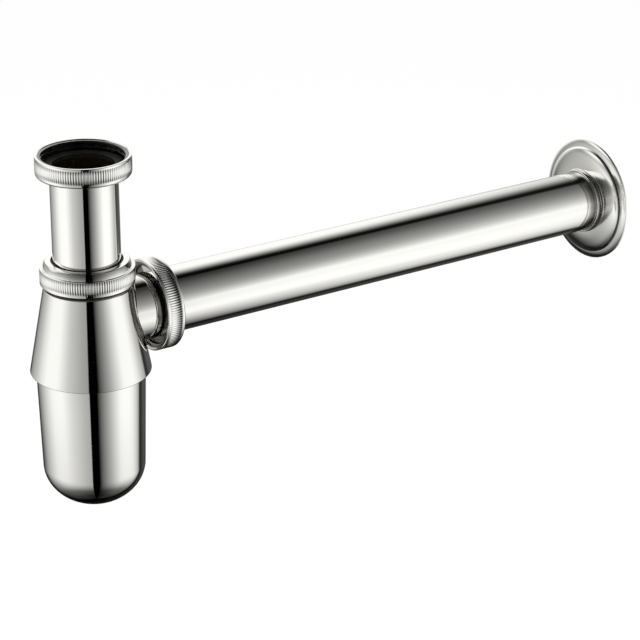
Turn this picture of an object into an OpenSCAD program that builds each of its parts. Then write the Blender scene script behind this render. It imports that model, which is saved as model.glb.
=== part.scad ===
// Bottle trap for a wash basin, in chromed brass, with a telescopic inlet tube and a wall pipe.
// Millimetres. Z is up along the inlet tube, X points along the outlet pipe to the wall, and the
// origin is the middle of the union nut's mouth, which screws onto the basin waste.

/* [Tube and pipe] */
// Outer diameter of the inlet tube and of the outlet pipe
tube_d = 32; // [30:0.5:34]
// Wall of the inlet tube and of the outlet pipe
tube_wall = 1; // [0.8:0.1:1.4]
// Thickness of the turned collar that a union nut pulls on
collar_t = 1.35; // [1:0.05:1.6]
// Length of inlet tube seen between the union nut and the body nut
tube_show = 42.1; // [30:0.1:60]
// Depth of the inlet tube's end below the lowest point of the outlet
water_seal = 50; // [45:0.5:55]
// Length of the outlet pipe
pipe_len = 275; // [150:1:400]
// Length of pipe that stands out behind the wall plane
pipe_tail = 7.9; // [3:0.1:60]
// Radial gap where a tube passes through a hole
pass_gap = 0.35; // [0.3:0.05:0.5]

/* [Pipe thread] */
// Crest diameter of the pipe thread of the three nuts
thread_d = 41.91; // [41.5:0.01:42.5]
// Depth of the pipe thread
thread_h = 1.479; // [1.2:0.001:1.6]
// Radial gap between two mated threads, drawn as plain cylinders at mid depth
thread_gap = 0.1; // [0.05:0.01:0.15]

/* [Union nuts] */
// Outer diameter of all three nuts
nut_d = 44.8; // [44.4:0.1:48]
// Length of a union nut
nut_len = 9.7; // [9.4:0.1:14]
// End wall of a union nut
nut_end = 1.45; // [1.2:0.05:2]
// Rounding round the closed end of a union nut
nut_round = 1.6; // [0.8:0.1:2]
// Lead-in bevel inside the mouth of a nut
lead_in = 0.5; // [0.4:0.1:1]
// Rounding of the mouth's outer edge
mouth_round = 0.5; // [0.3:0.1:0.8]
// Smooth band between the mouth and the knurl
mouth_band = 1.4; // [1:0.1:2.5]

/* [Knurl] */
// Width of the knurled band
knurl_len = 5.7; // [3:0.1:5.8]
// Number of teeth round a nut
knurl_n = 116; // [80:2:140]
// Depth of the teeth
knurl_depth = 0.35; // [0.2:0.05:0.5]
// Flat left on the crest of each tooth, as a part of the depth
knurl_crest = 0.15; // [0.1:0.05:0.4]

/* [Body nut] */
// Length of the body nut
body_nut_len = 10.9; // [10.6:0.1:16]
// Width of the flat ring round the tube hole
ring_w = 1.5; // [1:0.1:2.5]
// Drop of the flat ring from its inner to its outer edge
ring_drop = 0.5; // [0.2:0.1:0.8]
// Height of the domed shoulder above the knurl
shoulder_h = 3.2; // [2.6:0.1:4]
// Width of the ledge between the domed shoulder and the knurl
ledge_w = 0.9; // [0.5:0.1:1.2]
// Radial gap between the tube and the hole of the body nut
hole_gap = 1; // [0.8:0.1:1.4]
// Thickness of the body nut over the slip ring
roof_t = 2.4; // [2:0.1:2.6]

/* [Body] */
// Gap between the body nut and the shoulder of the body
body_gap = 2.1; // [1:0.1:4]
// Height of the conical body
body_h = 43.2; // [42.5:0.1:60]
// Diameter of the body at its shoulder
body_top_d = 42; // [41.4:0.1:44]
// Diameter of the body's skirt at its lower edge
skirt_d = 57.9; // [57:0.1:64]
// Wall of the conical body
body_wall = 1.6; // [1.2:0.1:2]
// Height of the threaded neck above the shoulder
neck_h = 6.6; // [6:0.1:7.4]
// Distance of the outlet's axis below the shoulder
outlet_drop = 17.4; // [17:0.1:18.6]
// Distance from the body's axis to the end of the outlet spigot
outlet_reach = 36.1; // [35:0.1:50]
// Outer diameter of the outlet spigot
spigot_d = 32.3; // [31:0.1:34]
// Wall of the outlet spigot
spigot_wall = 1.2; // [1:0.1:2]
// Length of the threaded collar on the spigot's end
spigot_collar = 2.6; // [2.2:0.1:3]
// Fillet where the spigot leaves the cone
root_fillet = 1.7; // [0.8:0.1:2.4]
// Depth of the threaded socket in the skirt
socket_h = 8.5; // [8:0.1:9]

/* [Bottle] */
// Diameter of the bottle just under the skirt
bottle_d = 52; // [50:0.1:52.2]
// Length of the bottle below the skirt
bottle_len = 69.1; // [66:0.1:90]
// Draft of the bottle's wall, in degrees to each side
bottle_draft = 1.53; // [0:0.01:2]
// Height of the rounded bottom
bottle_dome = 20.5; // [15:0.1:25]
// Wall of the bottle
bottle_wall = 1.2; // [1:0.1:1.8]
// Mid-depth diameter of the bottle's thread
bottle_thread_d = 52.6; // [52.3:0.1:53]
// Length of the bottle's threaded end
bottle_thread_len = 5.9; // [4:0.1:6]

/* [Wall flange] */
// Diameter of the wall flange
flange_d = 64.9; // [60:0.1:90]
// Height of the flange's hub in front of the wall
flange_h = 7.4; // [6.8:0.1:12]
// Height at which the domed face meets the hub
face_h = 5.7; // [5:0.1:6.4]
// Rise of the domed face above a straight cone
face_bulge = 0.55; // [0.2:0.05:1]
// Width of the rolled rim
rim_w = 3.6; // [3:0.1:5]
// Height of the rolled rim in front of the wall
rim_h = 2.5; // [2:0.1:3.5]
// Height of the groove between the rim and the face
groove_h = 1.7; // [1.4:0.1:1.9]
// Thickness of the flange's sheet
sheet_t = 0.8; // [0.6:0.1:1]
// Wall of the flange's hub
hub_t = 0.85; // [0.7:0.05:1.2]
// Radial running fit of the flange on the pipe
flange_fit = 0.08; // [0.04:0.01:0.1]

/* [Seals] */
// Thickness of the inlet gasket
gasket_t = 2.1; // [1.5:0.1:2.6]
// Hole of the inlet gasket and of the outlet washer
gasket_hole_d = 29; // [26:0.5:30]
// Thickness of the outlet washer
washer_t = 1.3; // [1:0.1:2]
// Thickness of the slip ring in the body nut
slip_t = 1; // [0.8:0.1:1.2]
// Radial running fit of the rubber seal on the inlet tube
seal_fit = 0.05; // [0.03:0.01:0.1]
// Thickness of the seal's lip round the tube
lip_t = 0.65; // [0.4:0.05:0.7]
// Depth of the lip's end below the top of the body nut
lip_drop = 0.7; // [0.4:0.1:1.5]
// Thickness of the bottle's seal
bottle_seal_t = 1.8; // [1.2:0.1:2]
// Radial width of the bottle's seal
bottle_seal_w = 2.7; // [2.2:0.1:2.8]
// Gap left round a loose ring
ring_gap = 0.3; // [0.25:0.05:0.4]

/* [Hidden] */
$fn = 96;

// Radii shared by the tubes, nuts and seals
tube_r = tube_d / 2;
nut_r = nut_d / 2;
thread_mid_r = (thread_d - thread_h) / 2;
thread_root_r = thread_d / 2 - thread_h;
collar_r = thread_root_r - 2 * ring_gap;
disc_r = thread_root_r - ring_gap;
gasket_hole_r = gasket_hole_d / 2;
hole_r = tube_r + hole_gap;

// Levels down the inlet axis
tube_top_z = -(nut_len - nut_end - collar_t);
gasket_top_z = tube_top_z + gasket_t;
nut_top_z = -nut_len - tube_show;
nut_foot_z = nut_top_z - body_nut_len;
roof_z = nut_top_z - roof_t;
body_z = nut_foot_z - body_gap;
neck_z = body_z + neck_h;
outlet_z = body_z - outlet_drop;
skirt_z = body_z - body_h;
seat_z = skirt_z + socket_h;
rim_z = seat_z - bottle_seal_t;
bottle_z = skirt_z - bottle_len;

// Bores and slopes of the body
spigot_r = spigot_d / 2;
spigot_bore_r = spigot_r - spigot_wall;
neck_bore_r = tube_r + pass_gap;
dip_z = outlet_z - spigot_bore_r - water_seal;
cone_k = (skirt_d - body_top_d) / 2 / body_h;
cone_a = atan(cone_k);
socket_r = (bottle_thread_d + thread_gap) / 2;
seat_bore_r = socket_r - ring_gap - bottle_seal_w;
seal_chamfer = 1.85;

// Stations along the outlet axis
pipe_x = outlet_reach + washer_t;
pipe_end_x = pipe_x + pipe_len;
wall_x = pipe_end_x - pipe_tail;
outlet_nut_x = pipe_x + collar_t + nut_end - nut_len;

// Outer radius of the conical body at a level
function cone_r(z) = body_top_d / 2 + (body_z - z) * cone_k;

// Points of an arc round c, from angle a to angle b
function arc(c, r, a, b, n = 8) =
    [for (i = [0:n]) let (t = a + (b - a) * i / n) c + r * [cos(t), sin(t)]];

// Points of the bow from p to q that stands out by h at its middle, on the right of p to q
function bow(p, q, h, n = 16) =
    let (d = q - p, l = norm(d), side = [d.y, -d.x] / l,
        r = (l * l / 4 + h * h) / (2 * h), mid = (p + q) / 2 + side * (h - r),
        half = asin(l / 2 / r), a0 = atan2(side.y, side.x))
    [for (i = [0:n]) let (t = a0 - half + 2 * half * i / n) mid + r * [cos(t), sin(t)]];

// Ring that cuts straight teeth into a band of radius r
module knurl_cut(r, len) {
    crest = r + knurl_depth * knurl_crest;
    root = r - knurl_depth;
    linear_extrude(len)
        difference() {
            circle(r = r + 2);
            polygon([for (i = [0:2 * knurl_n - 1])
                let (a = i * 180 / knurl_n, q = i % 2 == 0 ? crest : root)
                [q * cos(a), q * sin(a)]]);
        }
}

// Union nut with its mouth at z = 0, its closed end below and a threaded bore of radius bore_r
module nut_shell(bore_r) {
    lead_r = thread_d / 2 + 0.25;
    relief_r = thread_mid_r + thread_gap / 2 + 0.02;
    difference() {
        rotate_extrude()
            polygon(concat(
                [[tube_r + pass_gap, -nut_len]],
                arc([nut_r - nut_round, nut_round - nut_len], nut_round, -90, 0),
                arc([nut_r - mouth_round, -mouth_round], mouth_round, 0, 90, 5),
                [[lead_r, 0], [bore_r, -lead_in], [bore_r, gasket_top_z + 0.2],
                 [relief_r, gasket_top_z + 0.2 - (relief_r - bore_r)],
                 [relief_r, nut_end - nut_len], [tube_r + pass_gap, nut_end - nut_len]]));
        translate([0, 0, -mouth_band - knurl_len])
            knurl_cut(nut_r, knurl_len);
    }
}

// Tube from z = 0 downwards, with a turned collar round its top
module collared_tube(len) {
    bore_r = tube_r - tube_wall;
    rotate_extrude()
        polygon([[bore_r, 0], [collar_r, 0], [collar_r, -collar_t], [tube_r, -collar_t],
            [tube_r, 0.3 - len], [tube_r - 0.3, -len], [bore_r, -len]]);
}

// Flat ring of thickness t with its top at z = 0
module flat_ring(inner_r, outer_r, t) {
    translate([0, 0, -t])
        difference() {
            cylinder(r = outer_r, h = t);
            translate([0, 0, -1])
                cylinder(r = inner_r, h = t + 2);
        }
}

// Turns a piece drawn up the Z axis so that its top faces the body along the outlet axis
module on_outlet(x) {
    translate([x, 0, outlet_z])
        rotate([0, -90, 0])
            children();
}

// Knurled nut that holds the inlet tube against the basin waste
module union_nut() {
    color("silver")
        nut_shell(thread_root_r);
}

// Black gasket on the inlet tube's collar
module inlet_gasket() {
    color("black")
        translate([0, 0, gasket_top_z])
            flat_ring(gasket_hole_r, disc_r, gasket_t);
}

// Inlet tube, which also dips into the bottle
module inlet_tube() {
    color("silver")
        translate([0, 0, tube_top_z])
            collared_tube(tube_top_z - dip_z);
}

// Knurled nut with a domed shoulder that presses the seal onto the inlet tube
module body_nut() {
    bore_r = thread_mid_r + thread_gap / 2;
    room_r = disc_r + ring_gap;
    shoulder_r = nut_r - ledge_w;
    ring_r = hole_r + ring_w;
    band_z = nut_top_z - shoulder_h;
    edge = 0.3;
    color("silver")
        difference() {
            rotate_extrude()
                polygon(concat(
                    [[bore_r + 0.5, nut_foot_z], [nut_r - edge, nut_foot_z],
                     [nut_r, nut_foot_z + edge], [nut_r, band_z - edge],
                     [nut_r - edge, band_z], [shoulder_r, band_z]],
                    bow([shoulder_r, band_z], [ring_r, nut_top_z - ring_drop], 0.85),
                    [[hole_r + 0.2, nut_top_z], [hole_r, nut_top_z - 0.2], [hole_r, roof_z],
                     [room_r, roof_z], [room_r, neck_z + 0.5], [bore_r, neck_z + 0.1],
                     [bore_r, nut_foot_z + 0.5]]));
            translate([0, 0, band_z - edge - knurl_len])
                knurl_cut(nut_r, knurl_len);
        }
}

// Plastic ring between the turning nut and the rubber seal
module slip_ring() {
    color("gainsboro")
        translate([0, 0, roof_z])
            flat_ring(tube_r + seal_fit + lip_t + 0.15, disc_r, slip_t);
}

// Rubber seal: a flat top under the slip ring, a tapered nose in the neck and a lip on the tube
module tube_seal() {
    in_r = tube_r + seal_fit;
    top_z = roof_z - slip_t;
    rest_z = neck_z + 0.05;
    nose = seal_chamfer - 0.15;
    color("black")
        rotate_extrude()
            polygon([[in_r, rest_z - nose], [neck_bore_r + 0.05, rest_z - nose],
                [neck_bore_r + 0.05 + nose - 0.1, rest_z], [disc_r, rest_z], [disc_r, top_z],
                [in_r + lip_t, top_z], [in_r + lip_t, nut_top_z - lip_drop - 0.2],
                [in_r + lip_t - 0.2, nut_top_z - lip_drop], [in_r, nut_top_z - lip_drop]]);
}

// Fillet of the spigot's root: a ball of radius root_fillet rolled round the neck on the cone
module spigot_root() {
    f = root_fillet;
    turns = 72;
    steps = 6;
    sink = 0.06;
    rows = [for (i = [0:turns - 1])
        let (
            a = 360 * i / turns,
            out = [0, sin(a), cos(a)],
            y = (spigot_r + f) * out.y,
            z = outlet_z + (spigot_r + f) * out.z,
            reach = cone_r(z) + f / cos(cone_a),
            ball = [sqrt(reach * reach - y * y), y, z],
            flat = norm([ball.x, ball.y]),
            to_neck = -out,
            to_cone = -[ball.x / flat * cos(cone_a), ball.y / flat * cos(cone_a), sin(cone_a)],
            span = acos(to_neck * to_cone))
        concat(
            [for (j = [0:steps])
                let (t = j / steps,
                    w = (to_neck * sin((1 - t) * span) + to_cone * sin(t * span)) / sin(span))
                ball + w * (f + (j == 0 || j == steps ? sink : 0))],
            [ball + (to_neck + to_cone) * (f / (1 + cos(span)) + 0.4)])];
    n = len(rows[0]);
    polyhedron(
        points = [for (row = rows) for (p = row) p],
        faces = [for (i = [0:turns - 1]) for (j = [0:n - 1])
            let (i2 = (i + 1) % turns, j2 = (j + 1) % n)
            each [[i * n + j, i * n + j2, i2 * n + j], [i * n + j2, i2 * n + j2, i2 * n + j]]]);
}

// Body casting: threaded neck, cone, skirt with a threaded socket, and the outlet spigot
module trap_body() {
    neck_r = thread_mid_r - thread_gap / 2;
    chest_z = body_z - (cone_r(body_z) - body_wall - neck_bore_r);
    round_r = 0.5;
    color("silver")
        difference() {
            union() {
                rotate_extrude()
                    polygon(concat(
                        [[0, skirt_z]],
                        arc([cone_r(skirt_z + round_r) - round_r / cos(cone_a),
                            skirt_z + round_r], round_r, -90, cone_a, 6),
                        [[body_top_d / 2, body_z - 0.2], [body_top_d / 2 - 0.2, body_z],
                         [neck_r, body_z], [neck_r, neck_z - 0.5], [neck_r - 0.5, neck_z],
                         [0, neck_z]]));
                translate([0, 0, outlet_z])
                    rotate([0, 90, 0]) {
                        cylinder(r = spigot_r, h = outlet_reach - spigot_collar / 2);
                        translate([0, 0, outlet_reach - spigot_collar])
                            rotate_extrude()
                                polygon([[0, 0], [neck_r - 0.4, 0], [neck_r, 0.4],
                                    [neck_r, spigot_collar - 0.4],
                                    [neck_r - 0.4, spigot_collar], [0, spigot_collar]]);
                    }
                spigot_root();
            }
            rotate_extrude()
                polygon([[0, skirt_z - 1], [socket_r + 1.1, skirt_z - 0.2],
                    [socket_r, skirt_z + 0.9], [socket_r, seat_z], [seat_bore_r, seat_z],
                    [seat_bore_r, body_z - (seat_bore_r + body_wall - body_top_d / 2) / cone_k],
                    [cone_r(chest_z) - body_wall, chest_z], [neck_bore_r, body_z],
                    [neck_bore_r, neck_z - seal_chamfer], [neck_bore_r + seal_chamfer, neck_z],
                    [neck_bore_r + seal_chamfer, neck_z + 1], [0, neck_z + 1]]);
            translate([0, 0, outlet_z])
                rotate([0, 90, 0])
                    cylinder(r = spigot_bore_r, h = outlet_reach + 1);
        }
}

// Black washer between the spigot and the pipe's collar
module outlet_washer() {
    color("black")
        on_outlet(outlet_reach)
            flat_ring(gasket_hole_r, disc_r, washer_t);
}

// Knurled nut that pulls the pipe's collar against the spigot
module outlet_nut() {
    color("silver")
        on_outlet(outlet_nut_x)
            nut_shell(thread_mid_r + thread_gap / 2);
}

// Pipe from the trap to the wall
module outlet_pipe() {
    color("silver")
        on_outlet(pipe_x)
            collared_tube(pipe_len);
}

// Pressed flange that covers the hole in the wall, hollow behind
module wall_flange() {
    hub_in = tube_r + flange_fit;
    hub_out = hub_in + hub_t;
    rim_r = flange_d / 2;
    groove_r = rim_r - rim_w;
    face = bow([groove_r, groove_h], [hub_out + 0.3, face_h], face_bulge);
    back = bow([groove_r - 0.1, groove_h - sheet_t], [hub_out + 0.1, face_h - sheet_t],
        face_bulge);
    roll_h = (rim_h - (groove_h + 0.5) / 2) / cos(atan((groove_h - 0.5) / rim_w));
    roll = bow([rim_r - sheet_t, 0.3], [groove_r + 0.3, groove_h - sheet_t],
        roll_h - sheet_t * 0.8);
    color("silver")
        translate([wall_x, 0, outlet_z])
            rotate([0, -90, 0])
                rotate_extrude()
                    polygon(concat(
                        [[rim_r - sheet_t, 0], [rim_r, 0]],
                        bow([rim_r, 0.5], [groove_r, groove_h], roll_h),
                        face,
                        [[hub_out, face_h + 0.3], [hub_out, flange_h - 0.3],
                         [hub_out - 0.3, flange_h], [hub_in + 0.2, flange_h],
                         [hub_in, flange_h - 0.2], [hub_in, face_h - sheet_t - 1.6],
                         [hub_out - 0.1, face_h - sheet_t - 1.6]],
                        [for (i = [len(back) - 1:-1:0]) back[i]],
                        [for (i = [len(roll) - 1:-1:0]) roll[i]]));
}

// Rubber ring between the bottle's rim and the body
module bottle_seal() {
    color("black")
        translate([0, 0, seat_z])
            flat_ring(seat_bore_r, seat_bore_r + bottle_seal_w, bottle_seal_t);
}

// Bottle: threaded end, drafted wall and rounded bottom
module bottle() {
    thread_r = (bottle_thread_d - thread_gap) / 2;
    top_r = bottle_d / 2;
    dome_z = bottle_z + bottle_dome;
    dome_r = top_r - (skirt_z - dome_z) * tan(bottle_draft);
    thread_z = rim_z - bottle_thread_len;
    steps = 28;
    color("silver")
        rotate_extrude()
            polygon(concat(
                [[top_r - bottle_wall, rim_z], [thread_r - 0.3, rim_z],
                 [thread_r, rim_z - 0.3], [thread_r, thread_z + 0.3], [top_r, thread_z],
                 [top_r, skirt_z]],
                [for (i = [0:steps]) let (t = 90 * i / steps)
                    [dome_r * cos(t), dome_z - bottle_dome * sin(t)]],
                [for (i = [steps:-1:0]) let (t = 90 * i / steps)
                    [(dome_r - bottle_wall) * cos(t),
                     dome_z - (bottle_dome - bottle_wall) * sin(t)]],
                [[top_r - bottle_wall, skirt_z]]));
}

union_nut();
inlet_gasket();
inlet_tube();
body_nut();
slip_ring();
tube_seal();
trap_body();
outlet_washer();
outlet_nut();
outlet_pipe();
wall_flange();
bottle_seal();
bottle();
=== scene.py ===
import bmesh
import bpy
import math
from mathutils import Euler, Matrix, Vector


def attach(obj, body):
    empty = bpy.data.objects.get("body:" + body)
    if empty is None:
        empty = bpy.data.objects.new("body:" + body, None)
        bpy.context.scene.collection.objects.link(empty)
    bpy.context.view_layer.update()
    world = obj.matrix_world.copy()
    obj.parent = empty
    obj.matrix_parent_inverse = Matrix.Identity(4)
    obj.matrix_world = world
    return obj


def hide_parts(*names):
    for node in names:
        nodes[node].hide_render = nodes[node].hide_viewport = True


# A chromed brass bottle trap, hanging as it does under a basin: union nut and inlet tube on top,
# cast body with a screwed bottle, and a wall pipe with a pressed flange along +X. Metres.
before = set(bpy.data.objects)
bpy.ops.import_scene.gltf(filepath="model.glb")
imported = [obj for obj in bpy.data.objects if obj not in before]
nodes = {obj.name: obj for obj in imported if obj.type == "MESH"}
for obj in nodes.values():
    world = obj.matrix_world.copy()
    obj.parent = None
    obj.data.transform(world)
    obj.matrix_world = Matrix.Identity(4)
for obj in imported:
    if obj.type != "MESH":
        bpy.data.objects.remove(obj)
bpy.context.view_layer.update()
bpy.ops.object.select_all(action="DESELECT")
mm = 0.001

# The camera looks down on the trap from in front of the body, a little past its left side, with a
# long lens, so that the pipe runs away to the upper right and the flange shows its face.
camera_turn = math.radians(-33.68)
camera_height = math.radians(23.3)
camera_roll = math.radians(0.349)
camera_reach = 1.13085
camera_lens = 125.45
camera_target = Vector((0.13079, 0, -0.11334))
look = Euler((math.pi / 2 - camera_height, 0, camera_turn)).to_matrix()
look = look @ Matrix.Rotation(camera_roll, 3, "Z")
bpy.ops.object.camera_add(location=camera_target + look.col[2] * camera_reach, rotation=look.to_euler())
camera = bpy.context.object
camera.data.lens = camera_lens
camera.data.sensor_width = 36
camera.data.clip_start = 0.01
bpy.context.scene.camera = camera
bpy.context.scene.view_settings.view_transform = "Standard"

# The floor is a wide sheet of white paper well below the trap. It keeps a soft shadow, and its
# own whiteness comes from a part of its colour that shines, so the lamps can stay low.
floor_level = -0.85
floor_radius = 24


def new_material(name):
    """An empty node material and its tree."""
    material = bpy.data.materials.new(name)
    material.use_nodes = True
    tree = material.node_tree
    tree.nodes.clear()
    return material, tree


def add_node(tree, kind, values=(), **settings):
    """Adds a node, with its settings, and links or fills the sockets that values names."""
    node = tree.nodes.new(kind)
    for key, value in settings.items():
        setattr(node, key, value)
    for socket, value in dict(values).items():
        if isinstance(value, bpy.types.NodeSocket):
            tree.links.new(value, node.inputs[socket])
        else:
            node.inputs[socket].default_value = value
    return node


def math_node(tree, operation, first, second=0.0, third=0.0):
    """The result of one Math node."""
    return add_node(tree, "ShaderNodeMath", {0: first, 1: second, 2: third},
                    operation=operation).outputs[0]


def seen_sharply(tree):
    """1 for a ray from the camera, a mirror or a clear piece, and 0 for diffuse light."""
    rays = add_node(tree, "ShaderNodeLightPath")
    seen = math_node(tree, "MAXIMUM", rays.outputs["Is Camera Ray"], rays.outputs["Is Glossy Ray"])
    return math_node(tree, "MAXIMUM", seen, rays.outputs["Is Transmission Ray"])


bpy.ops.mesh.primitive_circle_add(vertices=96, radius=floor_radius, fill_type="NGON",
                                  location=(0, 0, floor_level))
floor = bpy.context.object
floor.name = "paper_floor"
bpy.ops.object.transform_apply()
paper, tree = new_material("white_paper")
lit = add_node(tree, "ShaderNodeBsdfDiffuse", {"Color": (0.45, 0.45, 0.45, 1)})
shine = add_node(tree, "ShaderNodeMapRange", {"Value": seen_sharply(tree), "To Min": 0.3, "To Max": 0.68})
glow = add_node(tree, "ShaderNodeEmission", {"Strength": shine.outputs[0]})
both = add_node(tree, "ShaderNodeAddShader", {0: lit.outputs[0], 1: glow.outputs[0]})
add_node(tree, "ShaderNodeOutputMaterial", {0: both.outputs[0]})
floor.data.materials.append(paper)

# The room is plain white: full white where the camera, the chrome or a clear part sees it, and a
# little less as light on the rest. A wide soft lamp overhead gives the shadow its direction.
room = bpy.data.worlds.new("white_room")
bpy.context.scene.world = room
room.use_nodes = True
tree = room.node_tree
tree.nodes.clear()
level = add_node(tree, "ShaderNodeMapRange", {"Value": seen_sharply(tree), "To Min": 0.65, "To Max": 1.0})
sky = add_node(tree, "ShaderNodeBackground", {"Color": (1, 1, 1, 1), "Strength": level.outputs[0]})
add_node(tree, "ShaderNodeOutputWorld", {0: sky.outputs[0]})
room.cycles.sampling_method = "NONE"
lamp_tilt = (math.radians(20), math.radians(-12), 0)
bpy.ops.object.light_add(type="AREA", location=(-0.5, -0.9, 2.2), rotation=lamp_tilt)
lamp = bpy.context.object
lamp.data.shape = "DISK"
lamp.data.size = 1.2
lamp.data.energy = 22
lamp.visible_glossy = False

# A tent of grey scrim stands round the trap, as for any photograph of polished metal. It is seen
# by the chrome alone. Each stop is a bearing or a height in degrees, seen from the tent's middle,
# and the share of the white room that its cloth lets through there. The strip in front is black.
tent_centre = Vector((0, 0, -0.1))
tent_size = Vector((0.8, 0.8, 0.56))
cloth_stops = ((-180, 0.94), (-170, 0.77), (-160, 0.6), (-148, 0.49), (-134, 0.38), (-123.5, 0.33),
               (-122.8, 0.0), (-107, 0.0), (-100, 0.12), (-85, 0.36), (-57, 0.97), (-50, 1.0), (-34, 1.0),
               (-24, 0.83), (-13, 0.58), (-2, 0.39), (2, 0.03), (9, 0.03), (18, 0.09), (40, 0.09),
               (86, 0.05), (94, 0.26),
               (107, 0.4), (122, 0.54), (138, 0.8), (152, 0.98), (175, 0.99), (180, 0.94))
low_cloth_stops = ((-180, 0.92), (-165, 0.8), (-148, 0.66), (-134, 0.54), (-123.5, 0.48), (-122.8, 0.0),
                   (-107, 0.0), (-100, 0.13), (-80, 0.46), (-57, 0.93), (-47, 1.0), (-24, 1.0), (-13, 0.8),
                   (-5, 0.48), (1, 0.04), (9, 0.02), (20, 0.07), (40, 0.06), (92, 0.01), (104, 0.16), (121, 0.48), (137, 0.68), (152, 0.88),
                   (165, 0.95), (180, 0.92))
rise_stops = ((-90, 0.01), (-76, 0.03), (-62, 0.11), (-57, 0.18), (-50, 0.39), (-41, 0.64), (-34, 0.79),
              (-28, 0.95), (-22, 1.0), (2, 1.0), (6, 0.9), (13, 0.64), (22, 0.42), (30, 0.29), (39, 0.205),
              (47, 0.135), (54, 0.09), (60, 0.06), (90, 0.04))
# Heights in degrees between which the lower cloth, which is more even all round, takes over
low_cloth_from = -20
low_cloth_full = -36
# Bearing, height, and inner and outer reach in degrees, of the lamps that shine through the cloth
window_lamps = ((62, 20, 16, 50), (128, 38, 14, 34))


def ramp_node(tree, value, stops, low, high):
    """Grey level read off straight lines between (position, level) stops."""
    share = add_node(tree, "ShaderNodeMapRange", {"Value": value, "From Min": low, "From Max": high})
    ramp = add_node(tree, "ShaderNodeValToRGB", {0: share.outputs[0]})
    marks = ramp.color_ramp.elements
    for mark, (place, level) in zip((marks[0], marks[1]), (stops[0], stops[-1])):
        mark.color = (level, level, level, 1)
    for place, level in stops[1:-1]:
        mark = marks.new((place - low) / (high - low))
        mark.color = (level, level, level, 1)
    return ramp.outputs[0]


bpy.ops.mesh.primitive_uv_sphere_add(segments=96, ring_count=48, radius=1, location=tent_centre)
tent = bpy.context.object
tent.name = "scrim_tent"
tent.scale = tent_size
bpy.ops.object.transform_apply()
bpy.ops.object.shade_smooth()
scrim, tree = new_material("grey_scrim")
place = add_node(tree, "ShaderNodeTexCoord").outputs["Object"]
place = add_node(tree, "ShaderNodeVectorMath", {0: place, 1: tent_centre}, operation="SUBTRACT").outputs[0]
place = add_node(tree, "ShaderNodeVectorMath", {0: place}, operation="NORMALIZE").outputs[0]
part = add_node(tree, "ShaderNodeSeparateXYZ", {0: place}).outputs
bearing = math_node(tree, "DEGREES", math_node(tree, "ARCTAN2", part[1], part[0]))
height = math_node(tree, "DEGREES", math_node(tree, "ARCSINE", part[2]))
lower = add_node(tree, "ShaderNodeMapRange", {"Value": height, "From Min": low_cloth_from,
                                              "From Max": low_cloth_full}).outputs[0]
cloth = add_node(tree, "ShaderNodeMix", {"Factor": lower, "A": ramp_node(tree, bearing, cloth_stops, -180, 180),
                                         "B": ramp_node(tree, bearing, low_cloth_stops, -180, 180)})
share = math_node(tree, "MULTIPLY", cloth.outputs[0], ramp_node(tree, height, rise_stops, -90, 90))
for turn, tilt, inner, outer in window_lamps:
    aim = Euler((0, -math.radians(tilt), math.radians(turn))).to_matrix().col[0]
    off = add_node(tree, "ShaderNodeVectorMath", {0: place, 1: aim}, operation="DOT_PRODUCT").outputs["Value"]
    off = math_node(tree, "DEGREES", math_node(tree, "ARCCOSINE", off))
    spot = add_node(tree, "ShaderNodeMapRange", {"Value": off, "From Min": outer, "From Max": inner},
                    interpolation_type="SMOOTHSTEP")
    share = math_node(tree, "MAXIMUM", share, spot.outputs[0])
see_through = add_node(tree, "ShaderNodeBsdfTransparent", {0: share})
add_node(tree, "ShaderNodeOutputMaterial", {0: see_through.outputs[0]})
tent.data.materials.append(scrim)
tent.visible_camera = False
tent.visible_diffuse = False
tent.visible_shadow = False
tent.visible_transmission = False
tent.visible_volume_scatter = False

# The union nut screws onto the basin waste and is turned by hand. It is turned from brass bar,
# threaded inside, knurled round its middle and chromed; the thread and the inside are painted dark grey as painted
# shade of the recess.
nut_r = 22.4
nut_len = 9.7
nut_end = 1.45
knurl_low = -7.1
knurl_high = -1.4
knurl_ramp = 0.15
knurl_teeth = 116
knurl_depth = 0.35
lines_per_tooth = 4
thread_pitch = 2.309
thread_major = 20.955
thread_minor = 19.476
relief_r = 21.1
tube_hole_r = 16.35
chrome_colour = (0.985, 0.98, 0.945, 1)
# Dark grey of the threads and joint insides: painted shade of the recesses
thread_shade_colour = (0.34, 0.335, 0.325, 1)
bare_brass_colour = (0.42, 0.33, 0.18, 1)


def pick(piece, wanted):
    """Selects, in edit mode, the vertices whose place in mm passes the test, and what they bound."""
    bpy.context.tool_settings.mesh_select_mode = (True, False, False)
    bpy.ops.mesh.select_all(action="DESELECT")
    cage = bmesh.from_edit_mesh(piece.data)
    for vertex in cage.verts:
        if wanted(vertex.co / mm):
            vertex.select_set(True)
    cage.select_flush(True)
    bmesh.update_edit_mesh(piece.data)


def start_outline(name, corners):
    """A new mesh, left in edit mode, with a closed chain of edges through the (radius, height) corners."""
    bpy.ops.object.select_all(action="DESELECT")
    bpy.ops.mesh.primitive_plane_add(size=mm)
    piece = bpy.context.object
    piece.name = name
    bpy.ops.object.mode_set(mode="EDIT")
    bpy.ops.mesh.select_all(action="SELECT")
    bpy.ops.mesh.merge(type="CENTER")
    bpy.ops.transform.translate(value=(corners[0][0] * mm, 0, corners[0][1] * mm))
    for here, there in zip(corners, corners[1:]):
        step = ((there[0] - here[0]) * mm, 0, (there[1] - here[1]) * mm)
        bpy.ops.mesh.extrude_vertices_move(TRANSFORM_OT_translate={"value": step})
    ends = [Vector((corner[0], 0, corner[1])) for corner in (corners[0], corners[-1])]
    pick(piece, lambda co: min((co - end).length for end in ends) < 0.001)
    bpy.ops.mesh.edge_face_add()
    return piece


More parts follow.
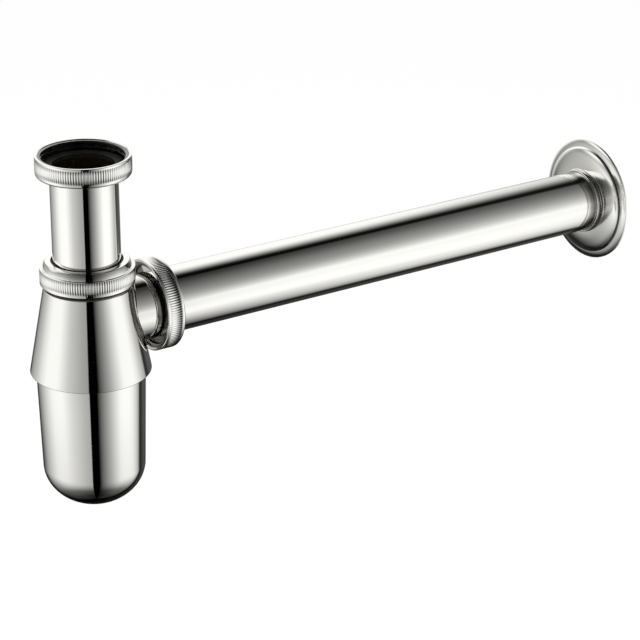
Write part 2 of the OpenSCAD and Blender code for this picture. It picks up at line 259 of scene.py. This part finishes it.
def turned(name, corners, steps, smooth=30):
    """A piece turned on a lathe: its outline's corners, (radius, height, rounding) in mm, are
    rounded and then spun round Z."""
    piece = start_outline(name, corners)
    for rounding in sorted({corner[2] for corner in corners if corner[2]}):
        soft = [Vector((corner[0], 0, corner[1])) for corner in corners if corner[2] == rounding]
        pick(piece, lambda co: min((co - corner).length for corner in soft) < 0.001)
        segments = 3 if rounding < 0.35 else 7
        bpy.ops.mesh.bevel(offset=rounding * mm, segments=segments, affect="VERTICES")
    bpy.ops.mesh.select_all(action="SELECT")
    bpy.ops.mesh.spin(steps=steps, angle=math.tau, center=(0, 0, 0), axis=(0, 0, 1))
    bpy.ops.mesh.select_all(action="SELECT")
    bpy.ops.mesh.remove_doubles(threshold=0.001 * mm)
    bpy.ops.mesh.normals_make_consistent(inside=False)
    bpy.ops.object.mode_set(mode="OBJECT")
    bpy.ops.object.shade_smooth_by_angle(angle=math.radians(smooth))
    return piece


def thread_ridge(name, tip_r, root_r, low, high, middle):
    """The ridge of a right-hand pipe thread round Z, from its root to its tip, cut off square at
    both ends. Middle is the height of the ridge where it crosses the XZ plane."""
    tip_half = 0.17
    root_half = 0.94
    sink = 0.12 if tip_r > root_r else -0.12
    turns = math.ceil((high - low) / thread_pitch) + 2
    first = middle + thread_pitch * math.floor((low - middle) / thread_pitch - 1)
    corners = [(root_r - sink, first - root_half), (root_r, first - root_half), (tip_r, first - tip_half),
               (tip_r, first + tip_half), (root_r, first + root_half), (root_r - sink, first + root_half)]
    ridge = start_outline(name, corners)
    bpy.ops.object.mode_set(mode="OBJECT")
    bpy.ops.object.modifier_add(type="SCREW")
    screw = ridge.modifiers[-1]
    screw.axis = "Z"
    screw.angle = math.tau * turns
    screw.screw_offset = thread_pitch * turns * mm
    screw.steps = 96 * turns
    screw.render_steps = 96 * turns
    bpy.ops.object.modifier_apply(modifier=screw.name)
    bpy.ops.object.mode_set(mode="EDIT")
    bpy.ops.mesh.select_all(action="SELECT")
    bpy.ops.mesh.normals_make_consistent(inside=False)
    for level, up in ((high, 1), (low, -1)):
        bpy.ops.mesh.select_all(action="SELECT")
        bpy.ops.mesh.bisect(plane_co=(0, 0, level * mm), plane_no=(0, 0, up), use_fill=True,
                            clear_outer=True, threshold=0.001 * mm)
    bpy.ops.mesh.select_all(action="SELECT")
    bpy.ops.mesh.normals_make_consistent(inside=False)
    bpy.ops.object.mode_set(mode="OBJECT")
    bpy.ops.object.shade_smooth_by_angle(angle=math.radians(30))
    return ridge


def weld_on(piece, ridge):
    """Makes the thread's ridge one skin with the piece."""
    # The ridge takes the thread's dark grey, a painted shade of the recess.
    ridge.data.materials.append(thread_painted_shade)
    bpy.ops.object.select_all(action="DESELECT")
    bpy.context.view_layer.objects.active = piece
    bpy.ops.object.modifier_add(type="BOOLEAN")
    weld = piece.modifiers[-1]
    weld.operation = "UNION"
    weld.solver = "EXACT"
    weld.material_mode = "TRANSFER"
    weld.object = ridge
    bpy.ops.object.modifier_apply(modifier=weld.name)
    ridge_mesh = ridge.data
    bpy.data.objects.remove(ridge)
    bpy.data.meshes.remove(ridge_mesh)
    piece.select_set(True)
    bpy.ops.object.shade_smooth_by_angle(angle=math.radians(30))


def paint_shade_faces(piece, inside):
    """Paints the faces whose corners all pass the test with the thread's dark grey, a painted shade."""
    bpy.context.view_layer.objects.active = piece
    if thread_painted_shade.name not in piece.data.materials:
        piece.data.materials.append(thread_painted_shade)
    bpy.ops.object.mode_set(mode="EDIT")
    pick(piece, inside)
    piece.active_material_index = piece.data.materials.find(thread_painted_shade.name)
    bpy.ops.object.material_slot_assign()
    bpy.ops.object.mode_set(mode="OBJECT")


def press_knurl(piece, low, high):
    """Presses straight teeth into the smooth band between two heights."""
    bpy.context.view_layer.objects.active = piece
    bpy.ops.object.mode_set(mode="EDIT")
    for line, share in ((1, 0.5), (2, 1.0), (3, 0.5)):
        def in_groove(co):
            turn = round(math.atan2(co.y, co.x) / math.tau * lines_per_tooth * knurl_teeth)
            in_band = low + knurl_ramp / 2 < co.z < high - knurl_ramp / 2
            return in_band and co.xy.length > nut_r - 0.1 and turn % lines_per_tooth == line
        pick(piece, in_groove)
        narrow = 1 - knurl_depth * share / nut_r
        bpy.ops.transform.resize(value=(narrow, narrow, 1), center_override=(0, 0, 0))
    bpy.ops.object.mode_set(mode="OBJECT")


def polish_axis(tree, along, centre):
    """The distance along a piece's axis and the distance from it, and the plain place on the piece."""
    place = add_node(tree, "ShaderNodeTexCoord").outputs["Object"]
    middle = Vector(centre) * mm
    place = add_node(tree, "ShaderNodeVectorMath", {0: place, 1: middle}, operation="SUBTRACT").outputs[0]
    part = add_node(tree, "ShaderNodeSeparateXYZ", {0: place}).outputs
    run, side, other = (part[2], part[0], part[1]) if along == "Z" else (part[0], part[1], part[2])
    radius = math_node(tree, "MULTIPLY_ADD", side, side, math_node(tree, "MULTIPLY", other, other))
    radius = math_node(tree, "SQRT", radius)
    return add_node(tree, "ShaderNodeCombineXYZ", {0: run, 2: radius}).outputs[0], place


def chrome_finish(name, along="Z", centre=(0, 0, 0), satin=0.03, lines=0.015, wave=0.004, tooling=0.0002, bore_r=0.0):
    """Nickel and chrome plate over brass. The polishing lines run round the axis through centre.
    Satin is the roughness, lines what the polishing adds to it, and wave and tooling are the
    depths in mm of the slight waviness and of the lines. Nearer the axis than bore_r, in mm, the
    plate stops and the drawn brass is bare."""
    material, tree = new_material(name)
    round_axis, place = polish_axis(tree, along, centre)
    polish = add_node(tree, "ShaderNodeTexNoise", {"Vector": round_axis, "Scale": 1400, "Detail": 4})
    haze = add_node(tree, "ShaderNodeTexNoise", {"Vector": place, "Scale": 60, "Detail": 5})
    swell = add_node(tree, "ShaderNodeTexNoise", {"Vector": place, "Scale": 90, "Detail": 0})
    rubbed = add_node(tree, "ShaderNodeMapRange", {"Value": polish.outputs["Fac"], "From Min": 0.35,
                                                   "From Max": 0.75, "To Max": lines})
    cloudy = add_node(tree, "ShaderNodeMapRange", {"Value": haze.outputs["Fac"], "From Min": 0.4,
                                                   "From Max": 0.75, "To Min": satin, "To Max": satin * 1.5})
    rough = math_node(tree, "ADD", rubbed.outputs[0], cloudy.outputs[0])
    relief = math_node(tree, "MULTIPLY", swell.outputs["Fac"], wave * mm)
    relief = math_node(tree, "MULTIPLY_ADD", polish.outputs["Fac"], tooling * mm, relief)
    bump = add_node(tree, "ShaderNodeBump", {"Distance": 1.0, "Height": relief})
    shader = add_node(tree, "ShaderNodeBsdfPrincipled", {
        "Base Color": chrome_colour, "Metallic": 1.0, "Roughness": rough, "Normal": bump.outputs[0]})
    if bore_r:
        radius = add_node(tree, "ShaderNodeSeparateXYZ", {0: round_axis}).outputs[2]
        plated = math_node(tree, "GREATER_THAN", radius, bore_r * mm)
        skin = add_node(tree, "ShaderNodeMix", {"Factor": plated}, data_type="RGBA")
        skin.inputs[6].default_value = bare_brass_colour
        skin.inputs[7].default_value = chrome_colour
        drawn = math_node(tree, "MULTIPLY_ADD", haze.outputs["Fac"], 0.3, 0.2)
        rough = add_node(tree, "ShaderNodeMix", {"Factor": plated, "A": drawn, "B": rough}).outputs[0]
        tree.links.new(skin.outputs[2], shader.inputs["Base Color"])
        tree.links.new(rough, shader.inputs["Roughness"])
    add_node(tree, "ShaderNodeOutputMaterial", {0: shader.outputs[0]})
    return material


def painted_shade_metal(name):
    """Thread flanks and joint insides painted a mottled dark grey as painted shade of their recesses, and duller than
    the plate.
    """
    material, tree = new_material(name)
    place = add_node(tree, "ShaderNodeTexCoord").outputs["Object"]
    shade_mottle = add_node(tree, "ShaderNodeTexNoise", {"Vector": place, "Scale": 300, "Detail": 5})
    tone = add_node(tree, "ShaderNodeValToRGB", {0: shade_mottle.outputs["Fac"]})
    tone.color_ramp.elements[0].position = 0.35
    # The darker end of the painted shade
    tone.color_ramp.elements[0].color = (0.24, 0.237, 0.23, 1)
    tone.color_ramp.elements[1].position = 0.7
    tone.color_ramp.elements[1].color = thread_shade_colour
    rough = add_node(tree, "ShaderNodeMapRange", {"Value": shade_mottle.outputs["Fac"], "To Min": 0.24, "To Max": 0.34})
    bump = add_node(tree, "ShaderNodeBump", {"Distance": 0.01 * mm, "Height": shade_mottle.outputs["Fac"]})
    shader = add_node(tree, "ShaderNodeBsdfPrincipled", {
        "Base Color": tone.outputs[0], "Metallic": 1.0, "Roughness": rough.outputs[0], "Normal": bump.outputs[0]})
    add_node(tree, "ShaderNodeOutputMaterial", {0: shader.outputs[0]})
    return material


def nut_blank(name, plating):
    """A union nut with its mouth at the origin and its closed end below, threaded and knurled."""
    floor_z = nut_end - nut_len
    corners = [(tube_hole_r, -nut_len, 0.1), (nut_r, -nut_len, 1.6), (nut_r, knurl_low, 0),
               (nut_r, knurl_low + knurl_ramp, 0), (nut_r, knurl_high - knurl_ramp, 0),
               (nut_r, knurl_high, 0), (nut_r, 0, 0.25), (thread_major + 0.3, 0, 0.1),
               (thread_major, -0.35, 0), (thread_major, -4.7, 0), (relief_r, -4.9, 0),
               (relief_r, floor_z, 0), (tube_hole_r, floor_z, 0.1)]
    nut = turned(name, corners, lines_per_tooth * knurl_teeth)
    nut.data.materials.append(plating)
    weld_on(nut, thread_ridge(name + "_ridge", thread_minor, thread_major, -4.75, -0.35, -1.0))
    # The thread, relief and floor inside the nut are painted dark grey as painted shade.
    paint_shade_faces(nut, lambda co: co.xy.length < relief_r + 0.05 and -nut_len + 0.3 < co.z < -0.05)
    press_knurl(nut, knurl_low, knurl_high)
    return nut


thread_painted_shade = painted_shade_metal("thread_painted_shade")
union_nut = nut_blank("turned_union_nut", chrome_finish("chrome_union_nut"))
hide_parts("union_nut")
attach(union_nut, "root")

# The inlet gasket lies on the tube's collar and is squeezed against the basin waste. It is a flat
# ring stamped from black rubber sheet, with a fine grain and a little bloom.


def rubber_finish(name):
    """Black rubber: nearly matt, with a fine grain and paler cloudy bloom."""
    material, tree = new_material(name)
    place = add_node(tree, "ShaderNodeTexCoord").outputs["Object"]
    bloom = add_node(tree, "ShaderNodeTexNoise", {"Vector": place, "Scale": 120, "Detail": 5})
    tone = add_node(tree, "ShaderNodeValToRGB", {0: bloom.outputs["Fac"]})
    tone.color_ramp.elements[0].position = 0.4
    tone.color_ramp.elements[0].color = (0.008, 0.008, 0.008, 1)
    tone.color_ramp.elements[1].position = 0.8
    tone.color_ramp.elements[1].color = (0.02, 0.02, 0.019, 1)
    rough = add_node(tree, "ShaderNodeMapRange", {"Value": bloom.outputs["Fac"], "To Min": 0.45, "To Max": 0.75})
    grain = add_node(tree, "ShaderNodeTexNoise", {"Vector": place, "Scale": 2200, "Detail": 2})
    bump = add_node(tree, "ShaderNodeBump", {"Distance": 0.02 * mm, "Height": grain.outputs["Fac"]})
    shader = add_node(tree, "ShaderNodeBsdfPrincipled", {
        "Base Color": tone.outputs[0], "Roughness": rough.outputs[0], "Normal": bump.outputs[0]})
    add_node(tree, "ShaderNodeOutputMaterial", {0: shader.outputs[0]})
    return material


def refinish(node, material):
    """Puts the material on a piece that keeps its own shape."""
    for slot in nodes[node].material_slots:
        slot.material = material


rubber = rubber_finish("black_rubber")
refinish("inlet_gasket", rubber)

# The inlet tube hangs from the union nut by its turned collar and dips into the bottle. It is
# drawn brass tube, polished round and round on a belt and chromed outside.
tube_bore_r = 15.5
refinish("inlet_tube", chrome_finish("chrome_tube", satin=0.025, wave=0.003, bore_r=tube_bore_r))

# The body nut presses the seal onto the inlet tube, so that the tube can be set at its height.
# It is turned from brass with a domed shoulder round the tube hole, knurled and chromed.
body_nut_top = -51.65
body_nut_foot = -62.7
band_top = -54.8
band_edge = 0.3
neck_top = -58.2
seal_room_r = 19.476
roof_z = -54.18
hole_r = 17.0
ledge_r = 21.1
groove_w = 0.7
groove_d = 0.55
shoulder_foot = (21.1, -55.1)
shoulder_top = (19.6, -51.75)
shoulder_bulge = 0.17


def bow(start, end, bulge, count):
    """Corners between two points along an arc that stands out by bulge to the right of start to end."""
    start = Vector(start)
    chord = Vector(end) - start
    side = Vector((chord.y, -chord.x)).normalized()
    radius = (chord.length_squared / 4 + bulge * bulge) / (2 * bulge)
    middle = start + chord / 2 + side * (bulge - radius)
    half = math.asin(chord.length / 2 / radius)
    turn = math.atan2(side.y, side.x)
    angles = [turn - half + 2 * half * (index + 1) / (count + 1) for index in range(count)]
    return [(middle.x + radius * math.cos(a), middle.y + radius * math.sin(a), 0) for a in angles]


body_nut = turned("turned_body_nut", [
    (thread_major, body_nut_foot + 0.35, 0), (thread_major + 0.35, body_nut_foot, 0.1),
    (nut_r, body_nut_foot, band_edge), (nut_r, band_top - band_edge - 5.7, 0),
    (nut_r, band_top - band_edge - 5.7 + knurl_ramp, 0), (nut_r, band_top - band_edge - knurl_ramp, 0),
    (nut_r, band_top - band_edge, 0), (nut_r, band_top, band_edge / 2), (ledge_r + groove_w, band_top, 0),
    (ledge_r + groove_w / 2, band_top - groove_d, 0), (*shoulder_foot, 0),
    *bow(shoulder_foot, shoulder_top, shoulder_bulge, 10), (*shoulder_top, 0.5),
    (hole_r, body_nut_top, 0.3), (hole_r, roof_z, 0), (seal_room_r, roof_z, 0),
    (seal_room_r, neck_top + 0.5, 0), (thread_major, neck_top + 0.1, 0)], lines_per_tooth * knurl_teeth)
body_nut.data.materials.append(chrome_finish("chrome_body_nut"))
nut_thread_middle = body_nut_foot
weld_on(body_nut, thread_ridge("body_nut_ridge", thread_minor + 0.05, thread_major, body_nut_foot + 0.35,
                               neck_top + 0.05, nut_thread_middle))
# The seal room, thread and relief inside the body nut are painted dark grey as painted shade.
paint_shade_faces(body_nut, lambda co: body_nut_foot + 0.05 < co.z < roof_z + 0.05 and (
    co.xy.length < seal_room_r + 0.05 or co.z < neck_top + 0.55 and co.xy.length < relief_r))
press_knurl(body_nut, band_top - band_edge - 5.7, band_top - band_edge)
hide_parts("body_nut")
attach(body_nut, "top_nut")

# The slip ring lies between the turning nut and the rubber seal. It is a thin moulded ring of
# pale plastic, with the faint flow marks of its mould.
plastic, tree = new_material("slip_plastic")
place = add_node(tree, "ShaderNodeTexCoord").outputs["Object"]
flow = add_node(tree, "ShaderNodeTexNoise", {"Vector": place, "Scale": 160, "Detail": 4, "Distortion": 1.2})
tone = add_node(tree, "ShaderNodeValToRGB", {0: flow.outputs["Fac"]})
tone.color_ramp.elements[0].color = (0.62, 0.61, 0.57, 1)
tone.color_ramp.elements[1].color = (0.78, 0.77, 0.73, 1)
rough = add_node(tree, "ShaderNodeMapRange", {"Value": flow.outputs["Fac"], "To Min": 0.28, "To Max": 0.45})
bump = add_node(tree, "ShaderNodeBump", {"Distance": 0.03 * mm, "Height": flow.outputs["Fac"]})
shader = add_node(tree, "ShaderNodeBsdfPrincipled", {
    "Base Color": tone.outputs[0], "Roughness": rough.outputs[0], "Normal": bump.outputs[0]})
add_node(tree, "ShaderNodeOutputMaterial", {0: shader.outputs[0]})
refinish("slip_ring", plastic)

# The tube seal grips the inlet tube with its lip and plugs the top of the neck with its nose. It
# is moulded in the same black rubber as the gasket.
refinish("tube_seal", rubber)

# The body is a hollow brass casting: threaded neck, cone, skirt with the bottle's socket, and the
# spigot of the outlet with its threaded collar. It is ground, polished and chromed outside.
outlet_z = -82.2
shoulder_z = -64.8
neck_r = 20.166
spigot_collar_x = 33.5
spigot_end_x = 36.1
outlet_nut_x = 30.5
outlet_nut_turn = (0, -math.pi / 2, 0)
root_r = thread_minor - 0.05
cone_top_r = 21.0
cone_h = 43.2
cone_slope = 0.18403
spigot_r = 16.15
fillet_r = 1.7
near = 0.06
casting = bpy.data.objects.new("cast_body", nodes["trap_body"].data.copy())
bpy.context.scene.collection.objects.link(casting)
bpy.context.view_layer.objects.active = casting
casting.data.materials.clear()
casting.data.materials.append(chrome_finish("chrome_body", satin=0.03, lines=0.01, wave=0.006))
bpy.ops.object.mode_set(mode="EDIT")
bpy.ops.mesh.customdata_custom_splitnormals_clear()
bpy.ops.mesh.select_all(action="SELECT")
bpy.ops.mesh.remove_doubles(threshold=0.001 * mm)
narrow = root_r / neck_r
pick(casting, lambda co: co.z > shoulder_z - 0.01 and 19 < co.xy.length < neck_r + 0.01)
bpy.ops.transform.resize(value=(narrow, narrow, 1), center_override=(0, 0, 0))
pick(casting, lambda co: co.x > spigot_collar_x - 0.01 and 19 < math.hypot(co.y, co.z - outlet_z) < neck_r + 0.01)
bpy.ops.transform.resize(value=(1, narrow, narrow), center_override=(0, 0, outlet_z * mm))
bpy.ops.object.mode_set(mode="OBJECT")
weld_on(casting, thread_ridge("neck_ridge", thread_major - 0.05, root_r, shoulder_z - 0.1, neck_top - 0.25,
                              nut_thread_middle + thread_pitch / 2))
collar_ridge = thread_ridge("collar_ridge", thread_major - 0.05, root_r, outlet_nut_x - spigot_end_x + 0.2,
                            outlet_nut_x - spigot_collar_x - 0.2, -1.0 + thread_pitch / 2)
collar_ridge.location = (outlet_nut_x * mm, 0, outlet_z * mm)
collar_ridge.rotation_euler = outlet_nut_turn
bpy.ops.object.transform_apply()
weld_on(casting, collar_ridge)
# The neck and the spigot's collar, hidden in the nuts, are painted dark grey as painted shade.
paint_shade_faces(casting, lambda co: co.z > shoulder_z - 0.01 and co.xy.length < root_r + 0.05)
paint_shade_faces(casting, lambda co: co.x > spigot_collar_x - 0.01 and co.z < shoulder_z)


def ground_normal(co):
    """The direction square to the ground cone, spigot or fillet at a point in mm, and no
    direction for a point on none of them."""
    across = Vector((0, co.y, co.z - outlet_z))
    out = across.normalized()
    if shoulder_z - cone_h + 0.55 < co.z < shoulder_z - 0.15:
        if abs(co.xy.length - cone_top_r - (shoulder_z - co.z) * cone_slope) < near:
            return Vector((co.x / co.xy.length, co.y / co.xy.length, cone_slope)).normalized()
    if co.x < spigot_collar_x + 0.01 and abs(across.length - spigot_r) < near:
        return out
    if co.x < spigot_collar_x and spigot_r < across.length < spigot_r + fillet_r:
        ball = out * (spigot_r + fillet_r)
        ball.z += outlet_z
        reach = cone_top_r + (shoulder_z - ball.z) * cone_slope + fillet_r * math.hypot(1, cone_slope)
        ball.x = math.sqrt(reach * reach - ball.y * ball.y)
        if abs((ball - co).length - fillet_r) < near:
            return (ball - co).normalized()
    return Vector()


loop_normals = [Vector() for loop in casting.data.loops]
for face in casting.data.polygons:
    truly = [ground_normal(casting.data.vertices[index].co / mm) for index in face.vertices]
    if all(normal.length for normal in truly):
        for loop, normal in zip(face.loop_indices, truly):
            loop_normals[loop] = normal
casting.data.normals_split_custom_set(loop_normals)
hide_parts("trap_body")
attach(casting, "housing")

# The outlet washer seals the pipe's collar against the spigot. It is stamped from rubber sheet.
refinish("outlet_washer", rubber)

# The outlet nut is the same turned nut as the one on the inlet. It pulls the pipe's collar
# against the spigot, with its mouth facing the body.
outlet_nut = bpy.data.objects.new("turned_outlet_nut", union_nut.data.copy())
bpy.context.scene.collection.objects.link(outlet_nut)
outlet_nut.location = (outlet_nut_x * mm, 0, outlet_z * mm)
outlet_nut.rotation_euler = outlet_nut_turn
bpy.ops.object.select_all(action="DESELECT")
bpy.context.view_layer.objects.active = outlet_nut
outlet_nut.select_set(True)
bpy.ops.object.transform_apply()
outlet_nut.material_slots[0].material = chrome_finish("chrome_outlet_nut", "X", (0, 0, outlet_z))
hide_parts("outlet_nut")
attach(outlet_nut, "side_nut")

# The outlet pipe is drawn brass tube with a turned collar at the trap. It is polished round and
# round and chromed, a little softer than the cast and turned pieces.
refinish("outlet_pipe", chrome_finish("chrome_pipe", "X", (0, 0, outlet_z), satin=0.05, bore_r=tube_bore_r))

# The wall flange slides on the pipe and hides the hole in the wall. It is pressed from brass
# sheet: a rolled rim, a step, a domed face and a short collar, left softer than the pipe.
wall_x = 304.5
flange_r = 32.45
sheet_t = 0.8
rim_side_h = 0.9
rim_bulge = 0.22
step_foot = (28.85, 1.9)
step_top = (28.1, 3.0)
edge_bulge = 0.1
face_edge = (25.0, 4.1)
face_bulge = 0.226
hub = (17.23, 4.86)
collar_in_r = 16.08
collar_out_r = 16.93
collar_h = 7.4
rim_foot = (flange_r, rim_side_h)
shape = [rim_foot, *[c[:2] for c in bow(rim_foot, step_foot, rim_bulge, 12)], step_foot,
         step_top, *[c[:2] for c in bow(step_top, face_edge, edge_bulge, 8)],
         face_edge, *[c[:2] for c in bow(face_edge, hub, face_bulge, 16)], hub]
front = [(radius, height, 0) for radius, height in shape]
front[0] = (flange_r, rim_side_h, 0.15)
back = [(min(radius, flange_r - sheet_t), height - sheet_t, 0) for radius, height in shape[1:]][::-1]
flange = turned("pressed_flange", [
    (flange_r - sheet_t, 0, 0), (flange_r, 0, 0), *front, (collar_out_r, hub[1] + 0.3, 0),
    (collar_out_r, collar_h, 0.3), (collar_in_r, collar_h, 0.2), (collar_in_r, hub[1] - 2.4, 0),
    (collar_out_r - 0.1, hub[1] - 2.4, 0), (collar_out_r - 0.1, hub[1] - sheet_t, 0), *back], 256)
flange.data.materials.append(chrome_finish("satin_flange", "X", (0, 0, outlet_z), satin=0.11, lines=0.04))
flange.location = (wall_x * mm, 0, outlet_z * mm)
flange.rotation_euler = outlet_nut_turn
bpy.ops.object.transform_apply()
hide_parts("wall_flange")
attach(flange, "flange")

# The bottle's seal is a flat rubber ring between the bottle's rim and the seat in the body.
refinish("bottle_seal", rubber)

# The bottle screws into the skirt and is taken off to clean the trap. It is spun from brass, with
# a slight draft and a rounded bottom, threaded at its top, polished and chromed.
bottle_rim_z = -101.3
bottle_top_r = 26.0
bottle_thread_r = 26.25
bottle_thread_z = -107.2
skirt_z = -108.0
dome_z = -156.6
dome_h = 20.5
dome_r = bottle_top_r - (skirt_z - dome_z) * math.tan(math.radians(1.53))
bottle_wall = 1.2
dome_steps = 40
quarter = [math.pi / 2 * step / dome_steps for step in range(dome_steps + 1)]
outer_dome = [(dome_r * math.cos(a), dome_z - dome_h * math.sin(a), 0) for a in quarter]
inner_dome = [((dome_r - bottle_wall) * math.cos(a), dome_z - (dome_h - bottle_wall) * math.sin(a), 0)
              for a in quarter]
bottle = turned("spun_bottle", [
    (bottle_top_r - bottle_wall, bottle_rim_z, 0), (bottle_thread_r, bottle_rim_z, 0.3),
    (bottle_thread_r, bottle_thread_z + 0.3, 0), (bottle_top_r, bottle_thread_z, 0),
    (bottle_top_r, skirt_z, 0), *outer_dome, *inner_dome[::-1], (bottle_top_r - bottle_wall, skirt_z, 0)], 256)
bottle.data.materials.append(chrome_finish("chrome_bottle", satin=0.03))
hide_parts("bottle")
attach(bottle, "cup")
